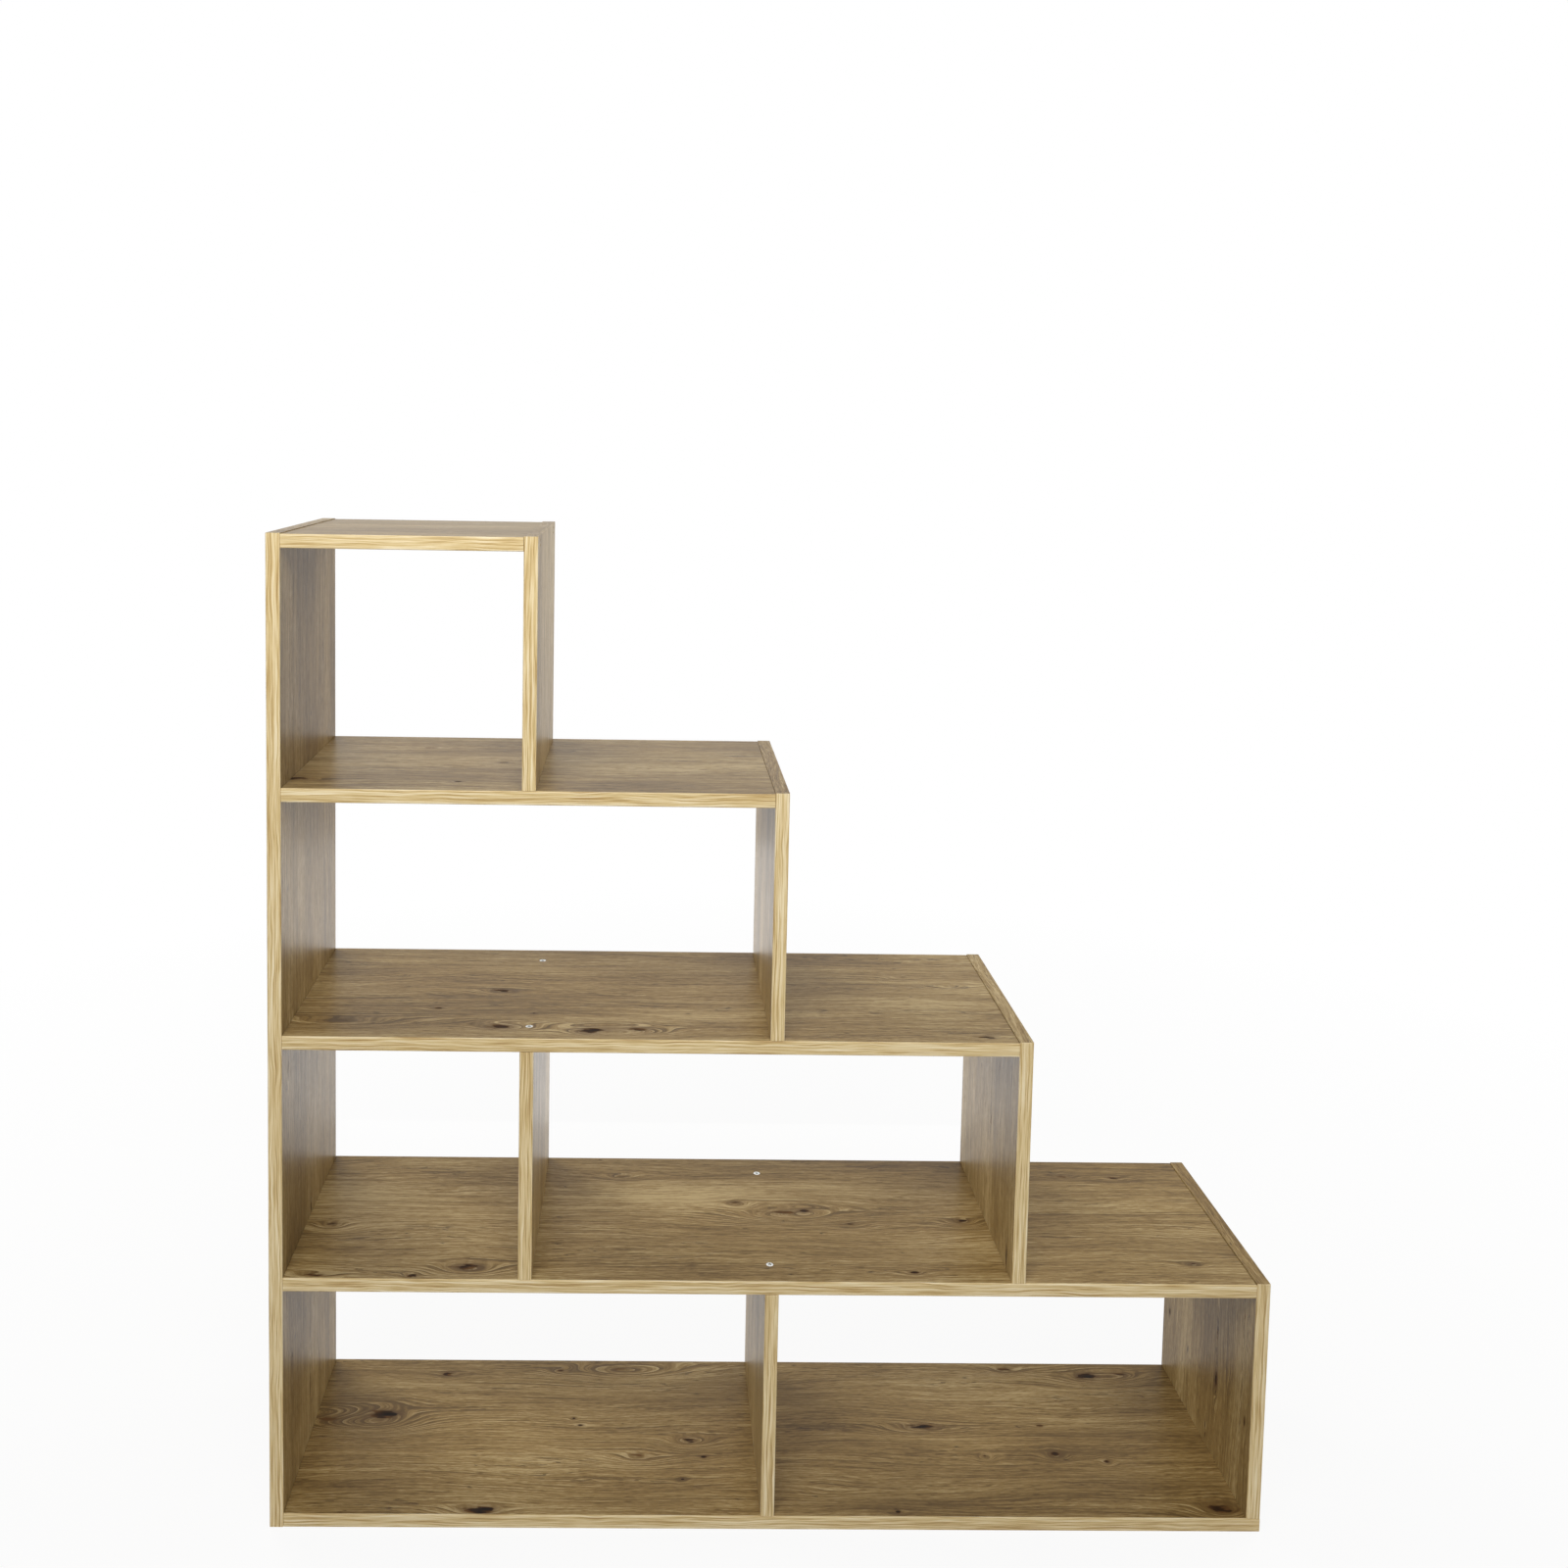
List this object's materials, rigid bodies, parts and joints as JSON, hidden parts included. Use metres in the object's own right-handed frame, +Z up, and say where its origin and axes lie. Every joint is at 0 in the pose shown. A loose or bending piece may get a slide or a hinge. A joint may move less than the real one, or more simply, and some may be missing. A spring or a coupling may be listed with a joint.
{
  "type": "staircase bookshelf",
  "caption": "Open-backed staircase bookshelf whose rows of open compartments grow shorter towards the top, made of edge-banded boards held by screwed butt joints.",
  "frame": {"origin": "middle of the footprint at floor level: the centre of the bounding box's bottom face", "axes": "+Z up; +X to the right, the way the steps fall; the edge strips face -Y and the rear edges +Y"},
  "size_m": [1.31, 0.33, 1.311],
  "materials": {
    "board_decor": "melamine-faced board in grey-brown rustic oak decor with knots, satin",
    "edge_strip": "ABS edge strip in pale oak decor, rounded arrises, satin",
    "zinc_screw": "bright zinc-plated steel"
  },
  "bodies": {
    "root": {"bottom_panel": "board_decor", "lower_shelf": "board_decor", "middle_shelf": "board_decor", "upper_shelf": "board_decor", "top_panel": "board_decor", "left_side": "board_decor", "step_1_side": "board_decor", "step_2_side": "board_decor", "step_3_side": "board_decor", "top_side": "board_decor", "divider_row_1": "board_decor", "divider_row_2": "board_decor", "bottom_panel_edge_strip": "edge_strip", "lower_shelf_edge_strip": "edge_strip", "middle_shelf_edge_strip": "edge_strip", "upper_shelf_edge_strip": "edge_strip", "top_panel_edge_strip": "edge_strip", "left_side_edge_strip": "edge_strip", "step_1_side_edge_strip": "edge_strip", "step_2_side_edge_strip": "edge_strip", "step_3_side_edge_strip": "edge_strip", "top_side_edge_strip": "edge_strip", "divider_row_1_edge_strip": "edge_strip", "divider_row_2_edge_strip": "edge_strip", "screw_bottom_panel_left_front": "zinc_screw", "screw_bottom_panel_left_rear": "zinc_screw", "screw_lower_shelf_left_front": "zinc_screw", "screw_lower_shelf_left_rear": "zinc_screw", "screw_middle_shelf_left_front": "zinc_screw", "screw_middle_shelf_left_rear": "zinc_screw", "screw_upper_shelf_left_front": "zinc_screw", "screw_upper_shelf_left_rear": "zinc_screw", "screw_top_panel_left_front": "zinc_screw", "screw_top_panel_left_rear": "zinc_screw", "screw_lower_shelf_right_front": "zinc_screw", "screw_lower_shelf_right_rear": "zinc_screw", "screw_middle_shelf_right_front": "zinc_screw", "screw_middle_shelf_right_rear": "zinc_screw", "screw_upper_shelf_right_front": "zinc_screw", "screw_upper_shelf_right_rear": "zinc_screw", "screw_top_panel_right_front": "zinc_screw", "screw_top_panel_right_rear": "zinc_screw", "screw_step_1_side_foot_front": "zinc_screw", "screw_step_1_side_foot_rear": "zinc_screw", "screw_step_2_side_foot_front": "zinc_screw", "screw_step_2_side_foot_rear": "zinc_screw", "screw_step_3_side_foot_front": "zinc_screw", "screw_step_3_side_foot_rear": "zinc_screw", "screw_top_side_foot_front": "zinc_screw", "screw_top_side_foot_rear": "zinc_screw", "screw_divider_row_1_foot_front": "zinc_screw", "screw_divider_row_1_foot_rear": "zinc_screw", "screw_divider_row_2_foot_front": "zinc_screw", "screw_divider_row_2_foot_rear": "zinc_screw", "screw_divider_row_1_head_front": "zinc_screw", "screw_divider_row_1_head_rear": "zinc_screw", "screw_divider_row_2_head_front": "zinc_screw", "screw_divider_row_2_head_rear": "zinc_screw"}
  },
  "joints": []
}
